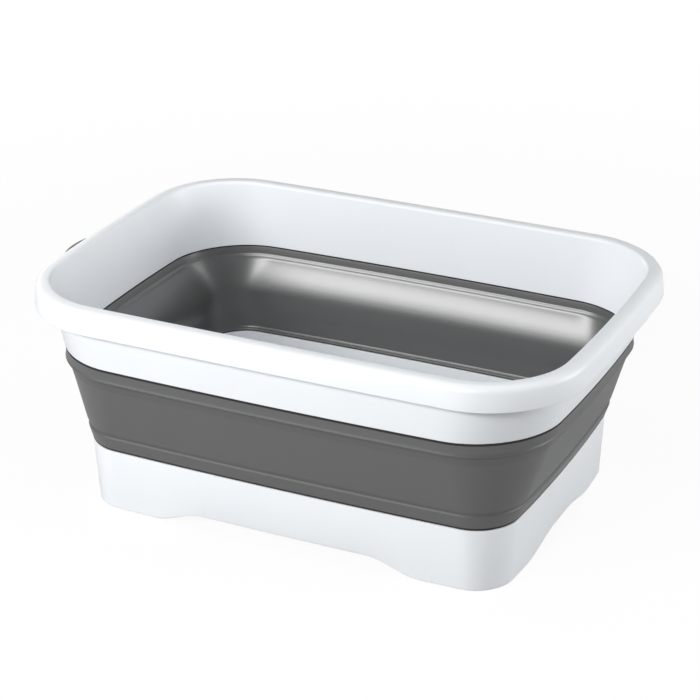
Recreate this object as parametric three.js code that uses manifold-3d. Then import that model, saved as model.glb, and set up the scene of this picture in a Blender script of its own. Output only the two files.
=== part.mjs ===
// A folding foot basin: white rim frame, grey folding wall, white base tub and a hanging loop.
// Millimetres, +Z up. The origin is on the floor under the middle of the base.
// +X runs along the basin, away from the end that carries the hanging loop.
import * as THREE from 'three';
import { mergeVertices } from 'three/addons/utils/BufferGeometryUtils.js';
import Module from 'manifold-3d';

const wasm = await Module();
wasm.setup();

// Plan of the rim, over the lower edge of its skirt
const RIM_LENGTH = 420;
const RIM_WIDTH = 288;
const RIM_CORNER = 66;
const RIM_SIDE_BOW = 2;
const RIM_END_BOW = 6;

// Plan of the folding wall at its top joint, measured in from the rim
const RIM_OVERHANG_END = 18;
const RIM_OVERHANG_SIDE = 11.5;
const WALL_CORNER = 58;
const WALL_SIDE_BOW = 4;
const WALL_END_BOW = 6;

// Plan of the base at its top joint, measured in from the top of the folding wall
const WALL_TAPER_END = 23;
const WALL_TAPER_SIDE = 16.5;
const BASE_CORNER = 29;
const BASE_SIDE_BOW = 3;
const BASE_END_BOW = 4.5;

// Plan of the base at the floor, measured in from its top joint
const BASE_DRAFT = 2.5;
const FOOT_CORNER = 26;

// Heights, stacked from the floor up
const BASE_HEIGHT = 48;
const LOWER_STRIP_HEIGHT = 12;
const FOLD_HEIGHT = 51;
const UPPER_STRIP_HEIGHT = 10.5;
const BAND_HEIGHT = 30.5;
const SKIRT_HEIGHT = 18;

// Wall thicknesses and the joints between the mouldings
const RIM_WALL = 2.8;
const BASE_WALL = 2.8;
const FOLD_WALL = 2.2;
const LAP_DEPTH = 3;
const BASE_LAP_DEPTH = 1.4;
const LAP_WALL = 1.4;
const JOINT_GAP = 0.3;

// Rim section: the rounded lip and the skirt that flares a little towards its lower edge
const LIP_WIDTH = 12.7;
const LIP_ROUND = 5;
const INNER_EDGE_ROUND = 2;
const SKIRT_FLARE = 1.5;
const CHANNEL_EDGE = 1.5;
const ROUND_STEPS = 3;

// Folding wall section: how far the strips, their beads and the groove stand off the plain taper
const UPPER_BEAD_PROUD = 2.2;
const UPPER_BEAD_RISE = 1.6;
const UPPER_NECK_RISE = 3.6;
const UPPER_NECK_PROUD = 1.2;
const UPPER_EDGE_PROUD = 1;
const GROOVE_DEPTH = 0.7;
const GROOVE_DROP = 6;
const GROOVE_REACH = 13;
const LOWER_BEAD_PROUD = 1;
const LOWER_BEAD_DROP = 1.5;
const LOWER_STRIP_PROUD = 0.5;
const LOWER_STRIP_DROP = 3.2;

// Base section: the floor stands above the arches of the lower edge
const FLOOR_LIFT = 12;
const FLOOR_THICKNESS = 2.6;
const FLOOR_ROUND = 8;
const SIDE_ARCH_SPAN = 210;
const SIDE_ARCH_FLAT = 130;
const SIDE_ARCH_RISE = 10.5;
const END_ARCH_SPAN = 124;
const END_ARCH_FLAT = 24;
const END_ARCH_RISE = 8;

// Hanging loop at the -X end, and the lugs under the skirt that carry its pivot rod
const LOOP_WIDTH = 52;
const LOOP_BOW = 12;
const LOOP_BAR = 7;
const LOOP_THICKNESS = 5;
const LOOP_REACH = 32;
const LOOP_EDGE = 0.8;
const LOOP_EDGE_STEPS = 2;
const PIVOT_INSET = 8;
const PIVOT_DROP = 3.3;
const PIVOT_ROD_RADIUS = 1.9;
const PIVOT_CLEARANCE = 0.3;
const LUG_WALL = 4;
const LUG_SIDE_GAP = 0.4;
const LUG_ROUND = 4.6;
const LUG_RISE = 8;
const LUG_ROOT = 1.2;
const BORE_OVERRUN = 2;
const ROD_SIDES = 16;
const CURVE_STEPS = 10;

// Steps of the outline round each corner, along each side and along each end
const CORNER_STEPS = 7;
const SIDE_STEPS = 20;
const END_STEPS = 12;
const LEAST_RADIUS = 0.5;
const WELD = 1e-4;

// Levels that follow from the heights
const baseTop = BASE_HEIGHT;
const lowerHinge = baseTop + LOWER_STRIP_HEIGHT;
const upperHinge = lowerHinge + FOLD_HEIGHT;
const wallTop = upperHinge + UPPER_STRIP_HEIGHT;
const skirtEdge = wallTop + BAND_HEIGHT;
const lipTop = skirtEdge + SKIRT_HEIGHT;
const floorTop = FLOOR_LIFT + FLOOR_THICKNESS;

const rimPlan = {
  length: RIM_LENGTH, width: RIM_WIDTH, corner: RIM_CORNER, sideBow: RIM_SIDE_BOW, endBow: RIM_END_BOW,
};
const wallPlan = {
  length: rimPlan.length - 2 * RIM_OVERHANG_END,
  width: rimPlan.width - 2 * RIM_OVERHANG_SIDE,
  corner: WALL_CORNER, sideBow: WALL_SIDE_BOW, endBow: WALL_END_BOW,
};
const basePlan = {
  length: wallPlan.length - 2 * WALL_TAPER_END,
  width: wallPlan.width - 2 * WALL_TAPER_SIDE,
  corner: BASE_CORNER, sideBow: BASE_SIDE_BOW, endBow: BASE_END_BOW,
};
const footPlan = {
  length: basePlan.length - 2 * BASE_DRAFT,
  width: basePlan.width - 2 * BASE_DRAFT,
  corner: FOOT_CORNER, sideBow: BASE_SIDE_BOW, endBow: BASE_END_BOW,
};

// A plan part of the way from one plan to another.
function between(from, to, share) {
  const plan = {};
  for (const key of Object.keys(from)) {
    plan[key] = THREE.MathUtils.lerp(from[key], to[key], share);
  }
  return plan;
}

// The plain taper of the folding wall at a height.
function taperAt(z) {
  return between(basePlan, wallPlan, (z - baseTop) / (wallTop - baseTop));
}

// The places round an outline: each quarter has its corner, then the straight that follows it.
const stations = [];
for (let quarter = 0; quarter < 4; quarter++) {
  for (let step = 0; step <= CORNER_STEPS; step++) {
    stations.push({ quarter, turn: step / CORNER_STEPS, along: 0 });
  }
  const straightSteps = quarter % 2 === 0 ? SIDE_STEPS : END_STEPS;
  for (let step = 1; step < straightSteps; step++) {
    stations.push({ quarter, turn: 1, along: step / straightSteps });
  }
}

// A point on the corner of a rounded rectangle, before its sides are bowed.
function cornerPoint(halfLength, halfWidth, radius, quarter, turn) {
  const angle = (quarter + turn) * Math.PI / 2;
  const sideX = quarter === 0 || quarter === 3 ? 1 : -1;
  const sideY = quarter < 2 ? 1 : -1;
  return new THREE.Vector2(
    sideX * (halfLength - radius) + radius * Math.cos(angle),
    sideY * (halfWidth - radius) + radius * Math.sin(angle),
  );
}

// A point of a plan's outline, moved in by an inset: a rounded rectangle with gently bowed sides.
function outlinePoint(plan, inset, station) {
  const halfLength = plan.length / 2 - plan.endBow - inset;
  const halfWidth = plan.width / 2 - plan.sideBow - inset;
  const radius = THREE.MathUtils.clamp(plan.corner - inset, LEAST_RADIUS, Math.min(halfLength, halfWidth));
  const { quarter, turn, along } = station;
  const point = cornerPoint(halfLength, halfWidth, radius, quarter, turn);
  point.lerp(cornerPoint(halfLength, halfWidth, radius, (quarter + 1) % 4, 0), along);
  const { x, y } = point;
  point.x = x * (1 + plan.endBow / halfLength * (1 - (y / halfWidth) ** 2));
  point.y = y * (1 + plan.sideBow / halfWidth * (1 - (x / halfLength) ** 2));
  return point;
}

// Joins the shared points of a geometry, drops its flattened triangles and leaves positions alone.
function welded(geometry) {
  const bare = geometry.clone();
  bare.deleteAttribute('normal');
  bare.deleteAttribute('uv');
  const joined = mergeVertices(bare, WELD);
  const index = joined.index.array;
  const kept = [];
  for (let i = 0; i < index.length; i += 3) {
    const [a, b, c] = index.slice(i, i + 3);
    if (a !== b && b !== c && c !== a) {
      kept.push(a, b, c);
    }
  }
  joined.setIndex(kept);
  return joined;
}

// Sweeps a section round the outlines of its corners. The section runs up its outer side, and each corner
// has a plan, an inset and a height. A corner with no plan lies on the middle axis.
function sweep(section) {
  const closed = section[0].plan ? [...section, section[0]] : section;
  const trace = closed.map((corner, row) => new THREE.Vector2(1, row));
  const geometry = new THREE.LatheGeometry(trace, stations.length);
  const position = geometry.attributes.position;
  for (let vertex = 0; vertex < position.count; vertex++) {
    const station = stations[Math.floor(vertex / closed.length) % stations.length];
    const { plan, inset, height } = closed[vertex % closed.length];
    const point = plan ? outlinePoint(plan, inset, station) : new THREE.Vector2();
    const z = typeof height === 'function' ? height(point) : height;
    position.setXYZ(vertex, point.x, point.y, z);
  }
  return welded(geometry);
}

function at(plan, inset, height) {
  return { plan, inset, height };
}

// Round stretches of a section, as corners on a quarter circle about a centre.
function rounding(plan, centreInset, centreHeight, radius, fromTurn, toTurn) {
  const corners = [];
  for (let step = 0; step <= ROUND_STEPS; step++) {
    const angle = THREE.MathUtils.lerp(fromTurn, toTurn, step / ROUND_STEPS) * Math.PI / 2;
    const inset = centreInset - radius * Math.cos(angle);
    corners.push(at(plan, inset, centreHeight + radius * Math.sin(angle)));
  }
  return corners;
}

function toSolid(geometry) {
  const mesh = welded(geometry);
  return new wasm.Manifold(new wasm.Mesh({
    numProp: 3,
    vertProperties: new Float32Array(mesh.attributes.position.array),
    triVerts: new Uint32Array(mesh.index.array),
  }));
}

function fromSolid(solid) {
  const { vertProperties, triVerts } = solid.getMesh();
  const geometry = new THREE.BufferGeometry();
  geometry.setAttribute('position', new THREE.BufferAttribute(vertProperties, 3));
  geometry.setIndex(new THREE.BufferAttribute(triVerts, 1));
  return geometry;
}

const whitePlastic = new THREE.MeshStandardMaterial({ color: '#f1f2f4', roughness: 0.35, metalness: 0 });
const softGrey = new THREE.MeshStandardMaterial({ color: '#656564', roughness: 0.45, metalness: 0 });
const darkGrey = new THREE.MeshStandardMaterial({ color: '#484847', roughness: 0.5, metalness: 0 });

function named(name, geometry, material) {
  geometry.computeVertexNormals();
  const mesh = new THREE.Mesh(geometry, material);
  mesh.name = name;
  return mesh;
}

// The pivot of the hanging loop, under the skirt at the -X end
const pivotX = -(RIM_LENGTH / 2 - PIVOT_INSET);
const pivotZ = skirtEdge - PIVOT_DROP;
const pivotSpan = LOOP_WIDTH + 2 * (LUG_SIDE_GAP + LUG_WALL);

// The rim's band runs from the inner side of the lip down to the folding wall.
const channelTop = lipTop - RIM_WALL;
const bandTopInset = LIP_WIDTH - RIM_WALL;

// Half the basin's length over the outer face of the band, at a height
function bandHalfLength(z) {
  const top = RIM_LENGTH / 2 - bandTopInset;
  return THREE.MathUtils.mapLinear(z, wallTop, channelTop, wallPlan.length / 2, top);
}

// A bar along Y with its section drawn in the XZ plane.
function alongY(shape, length) {
  const geometry = new THREE.ExtrudeGeometry(shape, {
    depth: length, bevelEnabled: false, curveSegments: CURVE_STEPS,
  });
  geometry.rotateX(Math.PI / 2);
  return geometry.translate(0, length / 2, 0);
}

function rod(radius, length) {
  return new THREE.CylinderGeometry(radius, radius, length, ROD_SIDES).translate(pivotX, 0, pivotZ);
}

// One lug: a rib between band and skirt that ends in a rounded eye about the pivot.
function lug(centreY) {
  const top = skirtEdge + LUG_RISE;
  const root = -bandHalfLength(pivotZ) + LUG_ROOT;
  const skirtFace = -(RIM_LENGTH / 2 - RIM_WALL) - LUG_ROOT;
  const shape = new THREE.Shape();
  shape.moveTo(-bandHalfLength(top) + LUG_ROOT, top);
  shape.lineTo(skirtFace, top);
  shape.lineTo(skirtFace, skirtEdge);
  shape.lineTo(pivotX - LUG_ROUND, skirtEdge);
  shape.lineTo(pivotX - LUG_ROUND, pivotZ);
  shape.absarc(pivotX, pivotZ, LUG_ROUND, Math.PI, Math.PI * 1.5, false);
  shape.lineTo(root, pivotZ - LUG_ROUND);
  shape.closePath();
  return alongY(shape, LUG_WALL).translate(0, centreY, 0);
}

function rimFrame() {
  const skirtRound = rounding(rimPlan, SKIRT_FLARE + LIP_ROUND, lipTop - LIP_ROUND, LIP_ROUND, 0, 1);
  const innerEdge = rounding(rimPlan, LIP_WIDTH - INNER_EDGE_ROUND, lipTop - INNER_EDGE_ROUND,
    INNER_EDGE_ROUND, 1, 2);
  const section = [
    at(wallPlan, 0, wallTop),
    at(rimPlan, bandTopInset, channelTop - CHANNEL_EDGE),
    at(rimPlan, bandTopInset - CHANNEL_EDGE, channelTop),
    at(rimPlan, SKIRT_FLARE + LIP_ROUND, channelTop),
    at(rimPlan, SKIRT_FLARE + RIM_WALL, lipTop - LIP_ROUND),
    at(rimPlan, RIM_WALL, skirtEdge),
    at(rimPlan, 0, skirtEdge),
    ...skirtRound,
    ...innerEdge,
    at(wallPlan, RIM_WALL, wallTop - LAP_DEPTH),
    at(wallPlan, LAP_WALL, wallTop - LAP_DEPTH),
    at(wallPlan, LAP_WALL, wallTop),
  ];
  const lugCentre = LOOP_WIDTH / 2 + LUG_SIDE_GAP + LUG_WALL / 2;
  const bore = toSolid(rod(PIVOT_ROD_RADIUS + PIVOT_CLEARANCE, pivotSpan + 2 * BORE_OVERRUN));
  const lugs = toSolid(lug(lugCentre)).add(toSolid(lug(-lugCentre)));
  return fromSolid(toSolid(sweep(section)).add(lugs).subtract(bore));
}

// The firm strip under the rim, with a bead along its lower edge
function upperStrip() {
  const foot = upperHinge + JOINT_GAP / 2;
  const joint = wallTop - JOINT_GAP;
  return sweep([
    at(taperAt(foot), -UPPER_EDGE_PROUD, foot),
    at(taperAt(upperHinge + UPPER_BEAD_RISE), -UPPER_BEAD_PROUD, upperHinge + UPPER_BEAD_RISE),
    at(taperAt(upperHinge + UPPER_NECK_RISE), -UPPER_NECK_PROUD, upperHinge + UPPER_NECK_RISE),
    at(wallPlan, 0, joint),
    at(wallPlan, LAP_WALL - JOINT_GAP, joint),
    at(wallPlan, LAP_WALL - JOINT_GAP, joint - LAP_DEPTH),
    at(wallPlan, RIM_WALL, joint - LAP_DEPTH),
    at(taperAt(foot), FOLD_WALL, foot),
  ]);
}

// The thin panel that turns inside out when the basin is folded
function foldPanel() {
  const top = upperHinge - JOINT_GAP / 2;
  const foot = lowerHinge + JOINT_GAP / 2;
  const groove = upperHinge - GROOVE_DROP;
  const plain = upperHinge - GROOVE_REACH;
  return sweep([
    at(taperAt(foot), 0, foot),
    at(taperAt(plain), 0, plain),
    at(taperAt(groove), GROOVE_DEPTH, groove),
    at(taperAt(top), 0, top),
    at(taperAt(top), FOLD_WALL, top),
    at(taperAt(groove), FOLD_WALL + GROOVE_DEPTH, groove),
    at(taperAt(plain), FOLD_WALL, plain),
    at(taperAt(foot), FOLD_WALL, foot),
  ]);
}

// The firm strip on the base, with a bead along its upper edge
function lowerStrip() {
  const top = lowerHinge - JOINT_GAP / 2;
  const joint = baseTop + JOINT_GAP;
  const bead = lowerHinge - LOWER_BEAD_DROP;
  const strip = lowerHinge - LOWER_STRIP_DROP;
  return sweep([
    at(basePlan, 0, joint),
    at(taperAt(strip), -LOWER_STRIP_PROUD, strip),
    at(taperAt(bead), -LOWER_BEAD_PROUD, bead),
    at(taperAt(top), 0, top),
    at(taperAt(top), FOLD_WALL, top),
    at(basePlan, BASE_WALL, joint + BASE_LAP_DEPTH),
    at(basePlan, LAP_WALL - JOINT_GAP, joint + BASE_LAP_DEPTH),
    at(basePlan, LAP_WALL - JOINT_GAP, joint),
  ]);
}

// Height of the base's lower edge: flat at the four corner feet, arched between them
function lowerEdge(point) {
  const { smoothstep } = THREE.MathUtils;
  const side = 1 - smoothstep(Math.abs(point.x), SIDE_ARCH_FLAT / 2, SIDE_ARCH_SPAN / 2);
  const end = 1 - smoothstep(Math.abs(point.y), END_ARCH_FLAT / 2, END_ARCH_SPAN / 2);
  return SIDE_ARCH_RISE * side + END_ARCH_RISE * end;
}

function baseTub() {
  const floorPlan = between(footPlan, basePlan, floorTop / baseTop);
  const floorRound = rounding(floorPlan, BASE_WALL + FLOOR_ROUND, floorTop + FLOOR_ROUND, FLOOR_ROUND, 0, -1);
  return sweep([
    { height: FLOOR_LIFT },
    at(footPlan, BASE_WALL, FLOOR_LIFT),
    at(footPlan, BASE_WALL, lowerEdge),
    at(footPlan, 0, lowerEdge),
    at(basePlan, 0, baseTop),
    at(basePlan, LAP_WALL, baseTop),
    at(basePlan, LAP_WALL, baseTop + BASE_LAP_DEPTH),
    at(basePlan, BASE_WALL, baseTop + BASE_LAP_DEPTH),
    ...floorRound,
    { height: floorTop },
  ]);
}

// A loop with a bowed end, joined across its root by the pivot rod
function hangingLoop() {
  const half = LOOP_WIDTH / 2;
  const hole = half - LOOP_BAR;
  const endCentre = pivotX - LOOP_REACH + LOOP_BOW;
  const shape = new THREE.Shape();
  shape.moveTo(pivotX, half);
  shape.absellipse(endCentre, 0, LOOP_BOW, half, Math.PI / 2, Math.PI * 1.5, false, 0);
  shape.lineTo(pivotX, -half);
  shape.lineTo(pivotX, -hole);
  shape.absellipse(endCentre, 0, LOOP_BOW - LOOP_BAR, hole, Math.PI * 1.5, Math.PI / 2, true, 0);
  shape.lineTo(pivotX, hole);
  shape.closePath();
  const plate = new THREE.ExtrudeGeometry(shape, {
    depth: LOOP_THICKNESS - 2 * LOOP_EDGE, curveSegments: CURVE_STEPS, bevelEnabled: true,
    bevelThickness: LOOP_EDGE, bevelSize: LOOP_EDGE, bevelOffset: -LOOP_EDGE,
    bevelSegments: LOOP_EDGE_STEPS,
  });
  plate.translate(0, 0, pivotZ - LOOP_THICKNESS / 2 + LOOP_EDGE);
  return fromSolid(toSolid(plate).add(toSolid(rod(PIVOT_ROD_RADIUS, pivotSpan))));
}

const basin = new THREE.Group();
basin.add(
  named('base_tub', baseTub(), whitePlastic),
  named('lower_wall_strip', lowerStrip(), softGrey),
  named('folding_wall_panel', foldPanel(), softGrey),
  named('upper_wall_strip', upperStrip(), softGrey),
  named('rim_frame', rimFrame(), whitePlastic),
  named('hanging_loop', hangingLoop(), darkGrey),
);

export default basin;
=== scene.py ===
import math
from collections import namedtuple

import bmesh
import bpy
from mathutils import Matrix, Vector


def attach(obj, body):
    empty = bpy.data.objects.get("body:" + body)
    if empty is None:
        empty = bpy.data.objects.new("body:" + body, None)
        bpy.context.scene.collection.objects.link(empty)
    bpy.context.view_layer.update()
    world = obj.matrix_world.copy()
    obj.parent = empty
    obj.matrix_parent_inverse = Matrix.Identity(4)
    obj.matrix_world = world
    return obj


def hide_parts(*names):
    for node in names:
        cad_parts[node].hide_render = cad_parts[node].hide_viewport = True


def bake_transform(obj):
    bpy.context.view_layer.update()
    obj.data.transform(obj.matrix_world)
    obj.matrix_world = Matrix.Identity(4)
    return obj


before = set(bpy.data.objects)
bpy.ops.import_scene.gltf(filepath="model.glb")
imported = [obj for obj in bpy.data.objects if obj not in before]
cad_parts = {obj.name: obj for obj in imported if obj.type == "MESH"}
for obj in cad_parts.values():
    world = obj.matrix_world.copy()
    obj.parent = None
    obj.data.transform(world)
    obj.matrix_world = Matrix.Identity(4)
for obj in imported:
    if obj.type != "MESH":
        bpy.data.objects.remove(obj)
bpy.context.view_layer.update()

# Plans of the basin from the floor up: a rounded rectangle whose long sides and ends bow out a little
Plan = namedtuple("Plan", "length width corner side_bow end_bow")
FOOT_PLAN = Plan(0.333, 0.227, 0.026, 0.003, 0.0045)
BASE_PLAN = Plan(0.338, 0.232, 0.029, 0.003, 0.0045)
WALL_PLAN = Plan(0.384, 0.265, 0.058, 0.004, 0.006)
RIM_PLAN = Plan(0.420, 0.288, 0.066, 0.002, 0.006)
PLANS = (FOOT_PLAN, BASE_PLAN, WALL_PLAN, RIM_PLAN)
FOOT, BASE, WALL, RIM = range(len(PLANS))

# Levels
FLOOR_UNDER = 0.012
FLOOR_TOP = 0.0146
BASE_TOP = 0.048
LOWER_FOLD = 0.060
UPPER_FOLD = 0.111
WALL_TOP = 0.1215
SKIRT_EDGE = 0.152
LIP_TOP = 0.170

# Thicknesses and the lapped joints between white and grey
SHELL = 0.0028
SOFT_SHELL = 0.0022
LAP = 0.0014
LAP_DEPTH = 0.003
BASE_LAP_DEPTH = 0.0014
JOINT_GAP = 0.0003
JOINT_ROUND = 0.0005
LAP_ROUND = 0.0004

# Recess along each joint, with a band of painted shade on the grey's edge, and the shares of that painted
# shade in the folds
SEAM_WIDTH = 0.0009
SEAM_DEPTH = 0.0008
SEAM_ROUND = 0.0003
SEAM_SHADE_BAND = 0.0004
BASE_SEAM_SHADE_BAND = 0.0010
SEAM_SHADE_FADE = 0.0005
FOLD_SHADE = 0.24
FADED_SHADE = 0.12

# Rim section
LIP_WIDTH = 0.0127
LIP_ROUND = 0.005
LIP_INNER_ROUND = 0.0025
SKIRT_FLARE = 0.0015
SKIRT_INNER_ROUND = 0.0006
SKIRT_OUTER_ROUND = 0.0009
CHANNEL_TOP = LIP_TOP - SHELL
CHANNEL_ROUND = 0.003

# Grey wall section, from the rim down: the outer face, then the ledge and the ridge of the inner face
NECK_RISE, NECK_PROUD, NECK_ROUND = 0.0024, 0.0013, 0.0006
BEAD_RISE, BEAD_PROUD, BEAD_ROUND = 0.0006, 0.0024, 0.0005
BEAD_UNDER_DROP, BEAD_UNDER_PROUD, BEAD_UNDER_ROUND = 0.0008, 0.0010, 0.0008
FILLET_DROP, FILLET_PROUD, FILLET_ROUND = 0.0045, 0.0003, 0.0018
FILLET_REACH, FILLET_END_ROUND = 0.0125, 0.004
GROOVE_REACH, GROOVE_END_ROUND = 0.0060, 0.0010
GROOVE_RISE, GROOVE_DEPTH, GROOVE_ROUND = 0.0014, 0.0007, 0.0006
LOWER_BEAD_DROP, LOWER_BEAD_PROUD, LOWER_BEAD_ROUND = 0.0005, 0.0005, 0.0007
LOWER_STRIP_DROP, LOWER_STRIP_PROUD, LOWER_STRIP_ROUND = 0.0030, 0.0003, 0.0008
STRIP_SHELL = 0.0014
HINGE_SHELL = 0.0021
LEDGE_HALF, LEDGE_TOP_ROUND, LEDGE_FOOT_ROUND = 0.0009, 0.0002, 0.0005
RIDGE_LEVEL = 0.0525
RIDGE_HALF, RIDGE_PROUD, RIDGE_ROUND, RIDGE_FOOT_ROUND = 0.0010, 0.0008, 0.0006, 0.0004

# Inner face of the folding panel, thick between its two hinges: height, thickness and rounding
PANEL_INSIDE = (
    (0.1085, 0.0022, 0.0008),
    (0.1055, 0.0033, 0.0013),
    (0.1020, 0.0044, 0.0016),
    (0.0980, 0.0055, 0.0018),
    (0.0940, 0.0064, 0.0018),
    (0.0900, 0.0071, 0.0018),
    (0.0860, 0.0075, 0.0018),
    (0.0820, 0.0074, 0.0018),
    (0.0775, 0.0064, 0.0020),
    (0.0720, 0.0049, 0.0022),
    (0.0655, 0.0026, 0.0025),
)

# Radius that the panel's inner corners lose for each unit of its extra thickness, which thins it there
CORNER_THINNING = 2.0

# Base section and the arches of its lower edge
UNDER_ROUND = 0.0008
FOOT_INNER_ROUND = 0.0007
FOOT_OUTER_ROUND = 0.0009
FLOOR_ROUND = 0.008
FLOOR_RING = 0.030
UNDER_RING = 0.020
EDGE_RING = 0.002
ARCH_RING = 0.013
SIDE_ARCH_SPAN, SIDE_ARCH_FLAT, SIDE_ARCH_RISE = 0.210, 0.130, 0.0105
END_ARCH_SPAN, END_ARCH_FLAT, END_ARCH_RISE = 0.124, 0.024, 0.008

# Hanging loop and the lugs that carry its rod
PIVOT = Vector((-0.202, 0, 0.1487))
LOOP_WIDTH = 0.052
LOOP_BOW = 0.012
LOOP_BAR = 0.007
LOOP_THICKNESS = 0.005
LOOP_REACH = 0.032
LOOP_EDGE = 0.0016
ROD_RADIUS = 0.0019
BORE_RADIUS = 0.0022
ROD_EDGE = 0.0004
LUG_WALL = 0.004
LUG_SIDE_GAP = 0.0004
LUG_ROUND = 0.0046
LUG_RISE = 0.008
LUG_ROOT = 0.0012

# Fineness of the loop and its rod, and the angle past which an edge of the rod is one of its two rims
LOOP_STEPS = 32
ROD_STEPS = 24
ROD_EDGE_STEPS = 2
ROD_EDGE_ANGLE = 1

# Fineness of the outlines and of the rounded corners of a section
CORNER_STEPS, SIDE_STEPS, END_STEPS = 16, 44, 28
ROUND_STEPS = 4
LEAST_RADIUS = 0.0005
SHARP_ANGLE = math.radians(38)

# A section is drawn with its plans this far apart, and this far from the middle, before it is spun
PLAN_STEP = 1e-4
SPIN_RADIUS = 0.2


# Outlines

def between(low, high, share):
    return low + (high - low) * share


def plan_at(place):
    """The plan at a place between the four: 0 is the foot's, 1 the base's, 2 the wall's, 3 the rim's."""
    below = min(int(place), len(PLANS) - 2)
    return Plan(*(between(a, b, place - below) for a, b in zip(PLANS[below], PLANS[below + 1])))


def taper(height):
    """The place of the grey wall's plain taper at a height."""
    return between(BASE, WALL, (height - BASE_TOP) / (WALL_TOP - BASE_TOP))


def outline_stations():
    """Round the outline, each quarter has its corner and then the straight that follows it."""
    stations = []
    for quarter in range(4):
        stations += [(quarter, step / CORNER_STEPS, 0) for step in range(CORNER_STEPS + 1)]
        straight = END_STEPS if quarter % 2 else SIDE_STEPS
        stations += [(quarter, 1, step / straight) for step in range(1, straight)]
    return stations


STATIONS = outline_stations()


def corner_point(half_length, half_width, radius, quarter, turn):
    """A point of a rounded corner: quarter 0 is the one at +X and +Y, and turn goes round it from 0 to 1."""
    angle = (quarter + turn) * math.pi / 2
    side_x = 1 if quarter in (0, 3) else -1
    side_y = 1 if quarter < 2 else -1
    x = side_x * (half_length - radius) + radius * math.cos(angle)
    y = side_y * (half_width - radius) + radius * math.sin(angle)
    return Vector((x, y))


def outline_point(plan, reach, station, thinning):
    """A point of a plan's outline, moved outwards by a reach.

    Thinning takes the inner face of a thick wall further out into the corners.
    """
    half_length = plan.length / 2 - plan.end_bow + reach
    half_width = plan.width / 2 - plan.side_bow + reach
    corner = plan.corner + reach - thinning * max(-reach - SOFT_SHELL, 0)
    radius = min(max(corner, LEAST_RADIUS), half_length, half_width)
    quarter, turn, along = station
    here = corner_point(half_length, half_width, radius, quarter, turn)
    there = corner_point(half_length, half_width, radius, (quarter + 1) % 4, 0)
    x, y = here.lerp(there, along)
    bowed_x = x * (1 + plan.end_bow / half_length * (1 - (y / half_width) ** 2))
    bowed_y = y * (1 + plan.side_bow / half_width * (1 - (x / half_length) ** 2))
    return bowed_x, bowed_y


# Building

# A corner of a section; its last field is its share of painted shade, which darkens the grey there
Corner = namedtuple("Corner", "place reach height soft seam", defaults=(0, 0))


def draw_chain(bm, points, closed):
    """The drawn line of a section."""
    verts = [bm.verts.new(p) for p in points]
    ends = verts[1:] + verts[:1] if closed else verts[1:]
    for pair in zip(verts, ends):
        bm.edges.new(pair)
    return verts


def soften(bm, verts, softs):
    """Rounds the corners of a drawn chain, each by its own reach along the edges."""
    for soft in sorted(set(softs) - {0}):
        chosen = [v for v, s in zip(verts, softs) if s == soft]
        bmesh.ops.bevel(
            bm, geom=chosen, offset=soft, offset_type="OFFSET", segments=ROUND_STEPS, profile=0.5,
            affect="VERTICES", clamp_overlap=True, material=-1,
        )


def spun_section(section, closed=True, thinning=0):
    """A section spun round the middle and laid on the outlines of its corners' plans."""
    bm = bmesh.new()
    # Each corner's share of painted shade is kept on its vertices for the material to read
    seam = bm.verts.layers.float.new("seam")
    points = [(c.reach, c.place * PLAN_STEP, c.height) for c in section]
    verts = draw_chain(bm, points, closed)
    for v, corner in zip(verts, section):
        v[seam] = corner.seam
    soften(bm, verts, [c.soft for c in section])
    drawn = bm.verts.layers.float_vector.new("drawn")
    for v in bm.verts:
        v[drawn] = v.co
    bmesh.ops.translate(bm, verts=bm.verts, vec=(SPIN_RADIUS, 0, 0))
    bmesh.ops.spin(
        bm, geom=bm.verts[:] + bm.edges[:], cent=(0, 0, 0), axis=(0, 0, 1), dvec=(0, 0, 0),
        angle=math.tau, steps=len(STATIONS), use_merge=True,
    )
    for v in bm.verts:
        share = math.atan2(v.co.y, v.co.x) / math.tau
        station = STATIONS[round(share * len(STATIONS)) % len(STATIONS)]
        reach, place, height = v[drawn]
        x, y = outline_point(plan_at(place / PLAN_STEP), reach, station, thinning)
        v.co = x, y, height
    bm.verts.layers.float_vector.remove(drawn)
    return bm


def finished(name, bm, material):
    """The finished mesh as an object at the origin, with outward faces and its material."""
    bmesh.ops.recalc_face_normals(bm, faces=bm.faces)
    mesh = bpy.data.meshes.new(name)
    bm.to_mesh(mesh)
    bm.free()
    mesh.shade_smooth()
    mesh.set_sharp_from_angle(angle=SHARP_ANGLE)
    mesh.materials.append(material)
    piece = bpy.data.objects.new(name, mesh)
    bpy.context.scene.collection.objects.link(piece)
    return piece


def band_half_length(height):
    """Half the basin's length over the outer face of the rim's band."""
    share = (height - WALL_TOP) / (CHANNEL_TOP - WALL_TOP)
    return between(WALL_PLAN.length / 2, RIM_PLAN.length / 2 - LIP_WIDTH + SHELL, share)


# Shading

# Places of the Mix node's colour sockets, because its other kinds use the same names
MIX_FIRST, MIX_SECOND, MIX_COLOUR = 6, 7, 2


class Value:
    """A socket of a shader. Arithmetic on it adds Math nodes."""

    def __init__(self, shader, socket):
        self.shader = shader
        self.socket = socket

    def maths(self, operation, first, second):
        return self.shader.node("ShaderNodeMath", {"operation": operation}, {0: first, 1: second})

    def __add__(self, other):
        return self.maths("ADD", self, other)

    def __radd__(self, other):
        return self.maths("ADD", other, self)

    def __sub__(self, other):
        return self.maths("SUBTRACT", self, other)

    def __rsub__(self, other):
        return self.maths("SUBTRACT", other, self)

    def __mul__(self, other):
        return self.maths("MULTIPLY", self, other)

    def __rmul__(self, other):
        return self.maths("MULTIPLY", other, self)


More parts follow.
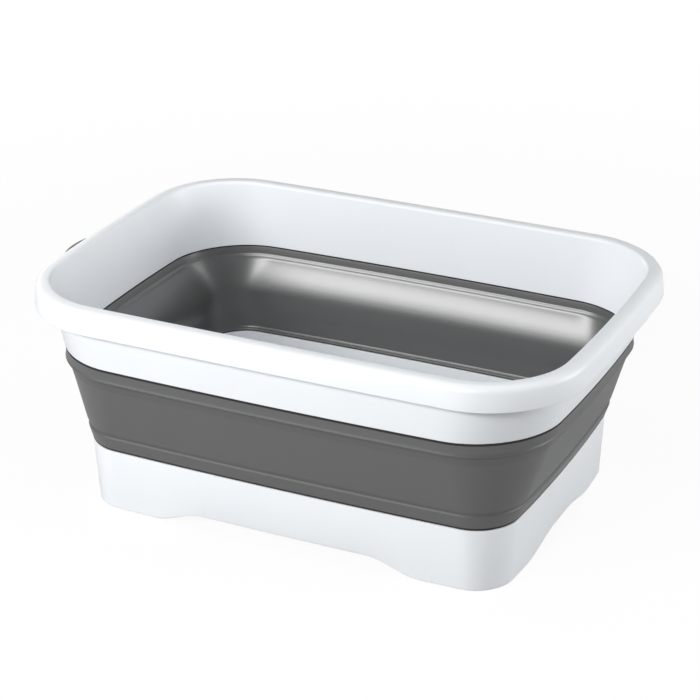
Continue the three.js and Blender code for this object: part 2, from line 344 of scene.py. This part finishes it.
class Shader:
    """A node tree. One method adds a node, sets it up and fills or links its sockets."""

    def __init__(self, tree):
        self.tree = tree
        tree.nodes.clear()

    def node(self, kind, settings=None, sockets=None, out=0):
        made = self.tree.nodes.new(kind)
        for key, value in (settings or {}).items():
            setattr(made, key, value)
        for key, value in (sockets or {}).items():
            if isinstance(value, Value):
                self.tree.links.new(value.socket, made.inputs[key])
            else:
                made.inputs[key].default_value = value
        return Value(self, made.outputs[out]) if len(made.outputs) else made

    def noise(self, scale, detail, roughness):
        place = self.node("ShaderNodeTexCoord", out="Object")
        sockets = {"Vector": place, "Scale": scale, "Detail": detail, "Roughness": roughness}
        return self.node("ShaderNodeTexNoise", sockets=sockets)

    def mixed(self, factor, first, second):
        """A colour between two colours."""
        sockets = {"Factor": factor, MIX_FIRST: first, MIX_SECOND: second}
        return self.node("ShaderNodeMix", {"data_type": "RGBA"}, sockets, out=MIX_COLOUR)

    def bump(self, height, strength, distance):
        sockets = {"Height": height, "Strength": strength, "Distance": distance}
        return self.node("ShaderNodeBump", sockets=sockets)


# Noises of the moulded plastics: the cloud in the colour, the fine grain, and the gloss worn by handling
CLOUD_DETAIL, CLOUD_ROUGHNESS = 3, 0.55
GRAIN_DETAIL, GRAIN_ROUGHNESS = 2, 0.6
HANDLED_DETAIL, HANDLED_ROUGHNESS = 4, 0.6
HANDLED_SCALE = 3.7
HANDLED_SHARE, GRAIN_SHARE = 0.7, 0.3
GRAIN_STRENGTH = 0.35


def plastic(name, dark, light, cloud_scale, grain_scale, grain_depth, rough_low, rough_high, specular,
            painted_shade_colour=None):
    """Moulded plastic: a faint cloudiness in the colour, a fine grain, and a gloss that varies a little."""
    material = bpy.data.materials.new(name)
    material.use_nodes = True
    shader = Shader(material.node_tree)
    cloud = shader.noise(cloud_scale, CLOUD_DETAIL, CLOUD_ROUGHNESS)
    grain = shader.noise(grain_scale, GRAIN_DETAIL, GRAIN_ROUGHNESS)
    handled = shader.noise(cloud_scale * HANDLED_SCALE, HANDLED_DETAIL, HANDLED_ROUGHNESS)
    worn = HANDLED_SHARE * handled + GRAIN_SHARE * grain
    roughness = rough_low + worn * (rough_high - rough_low)
    colour = shader.mixed(cloud, dark, light)
    # Painted shade: by the share that the mesh carries, the colour darkens towards the given colour and the
    # gloss goes matt
    if painted_shade_colour:
        seam = shader.node("ShaderNodeAttribute", {"attribute_name": "seam"}, out="Fac")
        colour = shader.mixed(seam, colour, painted_shade_colour)
        roughness = roughness + seam * (1 - roughness)
    surface = shader.node("ShaderNodeBsdfPrincipled", sockets={
        "Base Color": colour,
        "Roughness": roughness,
        "Normal": shader.bump(grain, GRAIN_STRENGTH, grain_depth),
        "Specular IOR Level": specular,
    })
    shader.node("ShaderNodeOutputMaterial", sockets={"Surface": surface})
    return material


white_plastic = plastic(
    "white_plastic", dark=(0.812, 0.838, 0.868, 1), light=(0.852, 0.878, 0.905, 1), cloud_scale=16,
    grain_scale=700, grain_depth=0.00005, rough_low=0.33, rough_high=0.46, specular=0.4,
)
# The grey's near-black second colour is painted shade for the joints' recesses and the folds
soft_grey = plastic(
    "soft_grey", dark=(0.087, 0.088, 0.088, 1), light=(0.094, 0.095, 0.094, 1), cloud_scale=22,
    grain_scale=1500, grain_depth=0.00001, rough_low=0.29, rough_high=0.33, specular=1.0,
    painted_shade_colour=(0.012, 0.012, 0.012, 1),
)
dark_plastic = plastic(
    "dark_grey", dark=(0.050, 0.050, 0.050, 1), light=(0.068, 0.068, 0.067, 1), cloud_scale=60,
    grain_scale=1800, grain_depth=0.00006, rough_low=0.36, rough_high=0.52, specular=0.4,
)


# Rim frame, with the two lugs under its skirt

def add_lug(bm, side):
    """A rib between band and skirt, with an eye for the loop's rod."""
    near = LOOP_WIDTH / 2 + LUG_SIDE_GAP
    y = near if side > 0 else -near - LUG_WALL
    top = SKIRT_EDGE + LUG_RISE
    skirt_face = SHELL - RIM_PLAN.length / 2 - LUG_ROOT
    foot = PIVOT.z - LUG_ROUND
    front = PIVOT.x - LUG_ROUND
    profile = (
        (LUG_ROOT - band_half_length(top), top),
        (skirt_face, top),
        (skirt_face, SKIRT_EDGE),
        (front, SKIRT_EDGE),
        (front, foot),
        (LUG_ROOT - band_half_length(PIVOT.z), foot),
    )
    edges_before = set(bm.edges)
    verts = draw_chain(bm, [(x, y, z) for x, z in profile], closed=True)
    soften(bm, verts, [LUG_ROUND if p == (front, foot) else 0 for p in profile])
    eye = Matrix.Translation((PIVOT.x, y, PIVOT.z)) @ Matrix.Rotation(math.pi / 2, 4, "X")
    bmesh.ops.create_circle(bm, cap_ends=False, segments=ROD_STEPS, radius=BORE_RADIUS, matrix=eye)
    drawn = [e for e in bm.edges if e not in edges_before]
    filled = bmesh.ops.triangle_fill(bm, use_beauty=True, use_dissolve=False, edges=drawn, normal=(0, -1, 0))
    faces = [g for g in filled["geom"] if isinstance(g, bmesh.types.BMFace)]
    grown = bmesh.ops.extrude_face_region(bm, geom=faces)
    moved = [g for g in grown["geom"] if isinstance(g, bmesh.types.BMVert)]
    bmesh.ops.translate(bm, verts=moved, vec=(0, LUG_WALL, 0))


rim_section = (
    Corner(WALL, 0, WALL_TOP, JOINT_ROUND),
    Corner(RIM, SHELL - LIP_WIDTH, CHANNEL_TOP, CHANNEL_ROUND),
    Corner(RIM, -SKIRT_FLARE - SHELL, CHANNEL_TOP, CHANNEL_ROUND),
    Corner(RIM, -SHELL, SKIRT_EDGE, SKIRT_INNER_ROUND),
    Corner(RIM, 0, SKIRT_EDGE, SKIRT_OUTER_ROUND),
    Corner(RIM, -SKIRT_FLARE, LIP_TOP, LIP_ROUND),
    Corner(RIM, -LIP_WIDTH, LIP_TOP, LIP_INNER_ROUND),
    Corner(WALL, -SHELL, WALL_TOP - LAP_DEPTH, LAP_ROUND),
    Corner(WALL, -LAP, WALL_TOP - LAP_DEPTH),
    Corner(WALL, -LAP, WALL_TOP),
)
rim_mesh = spun_section(rim_section)
add_lug(rim_mesh, 1)
add_lug(rim_mesh, -1)
rim = finished("rim_moulding", rim_mesh, white_plastic)
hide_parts("rim_frame")
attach(rim, "rim")


# Grey wall, in one piece that meets the base at its foot and the rim at its top

def on_taper(height, reach, soft, seam=0):
    """A corner of the section, set off from the wall's plain taper."""
    return Corner(taper(height), reach, height, soft, seam)


wall_joint = WALL_TOP - JOINT_GAP
base_joint = BASE_TOP + JOINT_GAP
rim_seam = wall_joint - LAP_DEPTH
base_seam = base_joint + BASE_LAP_DEPTH
# From each joint to these levels the grey is painted dark: painted shade along the joints
wall_shade_end = wall_joint - SEAM_WIDTH - SEAM_SHADE_BAND
base_shade_end = base_joint + SEAM_WIDTH + BASE_SEAM_SHADE_BAND
# Corners with a share of painted shade darken the joints' recesses, the groove of the lower fold and the
# creases under the bead
wall_section = (
    Corner(BASE, -SEAM_DEPTH, base_joint, seam=1),
    Corner(BASE, -SEAM_DEPTH, base_joint + SEAM_WIDTH, seam=1),
    on_taper(base_joint + SEAM_WIDTH, 0, SEAM_ROUND, seam=1),
    on_taper(base_shade_end, 0, 0, seam=1),
    on_taper(base_shade_end + SEAM_SHADE_FADE, 0, 0),
    on_taper(LOWER_FOLD - LOWER_STRIP_DROP, LOWER_STRIP_PROUD, LOWER_STRIP_ROUND),
    on_taper(LOWER_FOLD - LOWER_BEAD_DROP, LOWER_BEAD_PROUD, LOWER_BEAD_ROUND),
    on_taper(LOWER_FOLD + GROOVE_RISE, -GROOVE_DEPTH, GROOVE_ROUND, FOLD_SHADE),
    on_taper(LOWER_FOLD + GROOVE_REACH, 0, GROOVE_END_ROUND),
    on_taper(UPPER_FOLD - FILLET_REACH, 0, FILLET_END_ROUND),
    on_taper(UPPER_FOLD - FILLET_DROP, FILLET_PROUD, FILLET_ROUND, FADED_SHADE),
    on_taper(UPPER_FOLD - BEAD_UNDER_DROP, BEAD_UNDER_PROUD, BEAD_UNDER_ROUND, FOLD_SHADE),
    on_taper(UPPER_FOLD + BEAD_RISE, BEAD_PROUD, BEAD_ROUND),
    on_taper(UPPER_FOLD + NECK_RISE, NECK_PROUD, NECK_ROUND),
    on_taper(wall_shade_end - SEAM_SHADE_FADE, 0, 0),
    on_taper(wall_shade_end, 0, 0, seam=1),
    on_taper(wall_joint - SEAM_WIDTH, 0, SEAM_ROUND, seam=1),
    Corner(WALL, -SEAM_DEPTH, wall_joint - SEAM_WIDTH, seam=1),
    Corner(WALL, -SEAM_DEPTH, wall_joint, seam=1),
    Corner(WALL, JOINT_GAP - LAP, wall_joint),
    Corner(WALL, JOINT_GAP - LAP, rim_seam),
    Corner(WALL, SEAM_DEPTH - SHELL, rim_seam, seam=1),
    Corner(WALL, SEAM_DEPTH - SHELL, rim_seam - SEAM_WIDTH, seam=1),
    Corner(WALL, -SHELL, rim_seam - SEAM_WIDTH, SEAM_ROUND),
    on_taper(UPPER_FOLD + LEDGE_HALF, -STRIP_SHELL, LEDGE_TOP_ROUND),
    on_taper(UPPER_FOLD - LEDGE_HALF, -HINGE_SHELL, LEDGE_FOOT_ROUND),
    *(on_taper(height, -thickness, soft) for height, thickness, soft in PANEL_INSIDE),
    on_taper(RIDGE_LEVEL + RIDGE_HALF, -SOFT_SHELL, RIDGE_ROUND),
    on_taper(RIDGE_LEVEL, -SOFT_SHELL - RIDGE_PROUD, RIDGE_ROUND),
    on_taper(RIDGE_LEVEL - RIDGE_HALF, -SOFT_SHELL, RIDGE_FOOT_ROUND),
    Corner(BASE, -SHELL, base_seam + SEAM_WIDTH, SEAM_ROUND),
    Corner(BASE, SEAM_DEPTH - SHELL, base_seam + SEAM_WIDTH, seam=1),
    Corner(BASE, SEAM_DEPTH - SHELL, base_seam, seam=1),
    Corner(BASE, JOINT_GAP - LAP, base_seam),
    Corner(BASE, JOINT_GAP - LAP, base_joint),
)
wall_mesh = spun_section(wall_section, thinning=CORNER_THINNING)
wall = finished("folding_wall", wall_mesh, soft_grey)
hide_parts("lower_wall_strip", "folding_wall_panel", "upper_wall_strip")
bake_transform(wall)


# Base tub

def smooth_step(value, low, high):
    share = min(max((value - low) / (high - low), 0), 1)
    return share * share * (3 - 2 * share)


def arch_rise(x, y):
    """Height of the lower edge: flat at the four corner feet, arched between them."""
    side = 1 - smooth_step(abs(x), SIDE_ARCH_FLAT / 2, SIDE_ARCH_SPAN / 2)
    end = 1 - smooth_step(abs(y), END_ARCH_FLAT / 2, END_ARCH_SPAN / 2)
    return SIDE_ARCH_RISE * side + END_ARCH_RISE * end


floor_place = FLOOR_TOP / BASE_TOP
base_section = (
    Corner(FOOT, -UNDER_RING, FLOOR_UNDER),
    Corner(FOOT, -SHELL, FLOOR_UNDER, UNDER_ROUND),
    Corner(FOOT, -SHELL, 0, FOOT_INNER_ROUND),
    Corner(FOOT, 0, 0, FOOT_OUTER_ROUND),
    Corner(EDGE_RING / BASE_TOP, 0, EDGE_RING),
    Corner(ARCH_RING / BASE_TOP, 0, ARCH_RING),
    Corner(BASE, 0, BASE_TOP, JOINT_ROUND),
    Corner(BASE, -LAP, BASE_TOP),
    Corner(BASE, -LAP, BASE_TOP + BASE_LAP_DEPTH),
    Corner(BASE, -SHELL, BASE_TOP + BASE_LAP_DEPTH, LAP_ROUND),
    Corner(floor_place, -SHELL, FLOOR_TOP, FLOOR_ROUND),
    Corner(floor_place, -FLOOR_RING, FLOOR_TOP),
)
base_mesh = spun_section(base_section, closed=False)
for v in base_mesh.verts:
    if v.co.z < FLOOR_UNDER:
        v.co.z += arch_rise(v.co.x, v.co.y) * (1 - v.co.z / FLOOR_UNDER)
rings = [e for e in base_mesh.edges if e.is_boundary]
floors = bmesh.ops.holes_fill(base_mesh, edges=rings, sides=0)
bmesh.ops.poke(base_mesh, faces=floors["faces"])
base = finished("base_moulding", base_mesh, white_plastic)
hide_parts("base_tub")
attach(base, "base")


# Hanging loop

def loop_mesh():
    """A flat bar bent into a bow, run straight back to the pivot and joined by its rod."""
    bm = bmesh.new()
    half = LOOP_WIDTH / 2
    turn_centre = Vector((PIVOT.x - LOOP_REACH + LOOP_BOW, 0, PIVOT.z))
    low = PIVOT.z - LOOP_THICKNESS / 2
    high = PIVOT.z + LOOP_THICKNESS / 2
    profile = ((half - LOOP_BAR, low), (half, low), (half, high), (half - LOOP_BAR, high))
    verts = draw_chain(bm, [(turn_centre.x, y, z) for y, z in profile], closed=True)
    soften(bm, verts, [LOOP_EDGE] * len(profile))
    bmesh.ops.spin(
        bm, geom=bm.verts[:] + bm.edges[:], cent=turn_centre, axis=(0, 0, 1), dvec=(0, 0, 0),
        angle=math.pi, steps=LOOP_STEPS, use_merge=False,
    )
    for v in bm.verts:
        out = v.co.xy - turn_centre.xy
        v.co.x = turn_centre.x + out.x * (1 - (half - LOOP_BOW) / out.length)
    ends = [e for e in bm.edges if e.is_boundary]
    grown = bmesh.ops.extrude_edge_only(bm, edges=ends)
    moved = [g for g in grown["geom"] if isinstance(g, bmesh.types.BMVert)]
    bmesh.ops.translate(bm, verts=moved, vec=(PIVOT.x - turn_centre.x, 0, 0))
    bmesh.ops.holes_fill(bm, edges=[e for e in bm.edges if e.is_boundary], sides=0)
    along_y = Matrix.Translation(PIVOT) @ Matrix.Rotation(math.pi / 2, 4, "X")
    length = LOOP_WIDTH + 2 * (LUG_SIDE_GAP + LUG_WALL)
    rod = bmesh.ops.create_cone(
        bm, cap_ends=True, segments=ROD_STEPS, radius1=ROD_RADIUS, radius2=ROD_RADIUS, depth=length,
        matrix=along_y,
    )
    rod_verts = set(rod["verts"])
    rod_edges = [e for e in bm.edges if rod_verts.issuperset(e.verts)]
    bmesh.ops.bevel(
        bm, geom=[e for e in rod_edges if abs(e.calc_face_angle()) > ROD_EDGE_ANGLE], offset=ROD_EDGE,
        offset_type="OFFSET", segments=ROD_EDGE_STEPS, profile=0.5, affect="EDGES", material=-1,
    )
    return bm


loop = finished("hanging_ring", loop_mesh(), dark_plastic)
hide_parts("hanging_loop")
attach(loop, "loop")

# Camera at the photograph's viewing angle
CAMERA_PLACE = Vector((0.6448, -1.3205, 0.7930))
CAMERA_YAW = 0.454472
CAMERA_PITCH = 0.436664
CAMERA_ROLL = -0.010940
FOCAL_PIXELS = 2227.18
PICTURE_WIDTH = 700
SENSOR = 36


def make_camera():
    forward = Vector((
        -math.sin(CAMERA_YAW) * math.cos(CAMERA_PITCH),
        math.cos(CAMERA_YAW) * math.cos(CAMERA_PITCH),
        -math.sin(CAMERA_PITCH),
    ))
    level = Vector((math.cos(CAMERA_YAW), math.sin(CAMERA_YAW), 0))
    right = Matrix.Rotation(-CAMERA_ROLL, 3, forward) @ level
    up = right.cross(forward)
    data = bpy.data.cameras.new("camera")
    data.sensor_width = SENSOR
    data.lens = FOCAL_PIXELS * SENSOR / PICTURE_WIDTH
    camera = bpy.data.objects.new("camera", data)
    turned = Matrix((right, up, -forward)).transposed().to_4x4()
    camera.matrix_world = Matrix.Translation(CAMERA_PLACE) @ turned
    bpy.context.scene.collection.objects.link(camera)
    bpy.context.scene.camera = camera


make_camera()

# Studio: pale floor, white surroundings and softboxes
WHITE = (1, 1, 1, 1)
FLOOR_RADIUS = 4
FLOOR_STEPS = 96

# The floor's colour to the camera, and the darker one that lights the basin from below
FLOOR_WHITE = (0.95, 0.95, 0.95, 1)
FLOOR_BOUNCE = (0.46, 0.46, 0.46, 1)

# Share of plain white in the floor near the basin, and where it rises to all of it
FLOOR_GLOW = 0.93
FLOOR_FADE_START, FLOOR_FADE_END = 0.35, 1.1

# Light from all round, and the share of the white surroundings that gloss shows
AMBIENT = 0.08
MIRRORED_SHARE = 0.15

# What the softboxes point at, and from how far
AIM = Vector((0, 0, 0.09))
LAMP_DISTANCE = 1.6


def softbox(name, azimuth, elevation, width, height, radiance, roll=0):
    """A rectangular light. Azimuth 0 is in front of the basin and 90 at its +X end."""
    turn, rise = math.radians(azimuth), math.radians(elevation)
    back = Vector((math.sin(turn) * math.cos(rise), -math.cos(turn) * math.cos(rise), math.sin(rise)))
    data = bpy.data.lights.new(name, "AREA")
    data.shape = "RECTANGLE"
    data.size = width
    data.size_y = height
    data.energy = radiance * math.pi * width * height
    light = bpy.data.objects.new(name, data)
    light.location = AIM + back * LAMP_DISTANCE
    facing = back.to_track_quat("Z", "Y").to_matrix()
    light.rotation_euler = (facing @ Matrix.Rotation(math.radians(roll), 3, "Z")).to_euler()
    light.visible_camera = False
    bpy.context.scene.collection.objects.link(light)


def seen_directly(shader):
    """One for what the camera sees, a share of it for reflections and views through glass, else nothing."""
    camera = shader.node("ShaderNodeLightPath", out="Is Camera Ray")
    glossy = shader.node("ShaderNodeLightPath", out="Is Glossy Ray")
    through = shader.node("ShaderNodeLightPath", out="Is Transmission Ray")
    mirrored = (glossy + through) * MIRRORED_SHARE
    return shader.node("ShaderNodeMath", {"operation": "ADD", "use_clamp": True}, {0: camera, 1: mirrored})


def make_floor():
    bm = bmesh.new()
    bmesh.ops.create_circle(bm, cap_ends=True, segments=FLOOR_STEPS, radius=FLOOR_RADIUS)
    mesh = bpy.data.meshes.new("studio_floor")
    bm.to_mesh(mesh)
    bm.free()
    floor = bpy.data.objects.new("studio_floor", mesh)
    bpy.context.scene.collection.objects.link(floor)
    paint = bpy.data.materials.new("studio_floor")
    paint.use_nodes = True
    shader = Shader(paint.node_tree)
    seen = seen_directly(shader)
    colour = shader.mixed(seen, FLOOR_BOUNCE, FLOOR_WHITE)
    matt = shader.node("ShaderNodeBsdfDiffuse", sockets={"Color": colour})
    white = shader.node("ShaderNodeEmission", sockets={"Color": WHITE, "Strength": 1})
    place = shader.node("ShaderNodeTexCoord", out="Object")
    away = shader.node("ShaderNodeVectorMath", {"operation": "LENGTH"}, {0: place}, out="Value")
    glow = shader.node("ShaderNodeMapRange", {"interpolation_type": "SMOOTHSTEP"}, {
        "Value": away,
        "From Min": FLOOR_FADE_START,
        "From Max": FLOOR_FADE_END,
        "To Min": FLOOR_GLOW,
        "To Max": 1,
    })
    both = shader.node("ShaderNodeMixShader", sockets={0: seen * glow, 1: matt, 2: white})
    shader.node("ShaderNodeOutputMaterial", sockets={"Surface": both})
    mesh.materials.append(paint)


def make_surroundings():
    world = bpy.data.worlds.new("studio")
    world.use_nodes = True
    shader = Shader(world.node_tree)
    strength = AMBIENT + seen_directly(shader) * (1 - AMBIENT)
    sky = shader.node("ShaderNodeBackground", sockets={"Color": WHITE, "Strength": strength})
    shader.node("ShaderNodeOutputWorld", sockets={"Surface": sky})
    bpy.context.scene.world = world
    bpy.context.scene.view_settings.view_transform = "Standard"


make_floor()
make_surroundings()
softbox("key_softbox", azimuth=-24, elevation=27, width=1.15, height=0.37, radiance=14.8, roll=3)
softbox("corner_softbox", azimuth=6, elevation=32, width=0.5, height=0.14, radiance=18)
softbox("front_softbox", azimuth=-36, elevation=15, width=1.2, height=0.5, radiance=1.0)
softbox("end_softbox", azimuth=113, elevation=14, width=0.9, height=0.6, radiance=9.9)
softbox("top_softbox", azimuth=0, elevation=85, width=1.2, height=0.9, radiance=1.8)
softbox("back_softbox", azimuth=230, elevation=12, width=0.8, height=0.8, radiance=2.3)
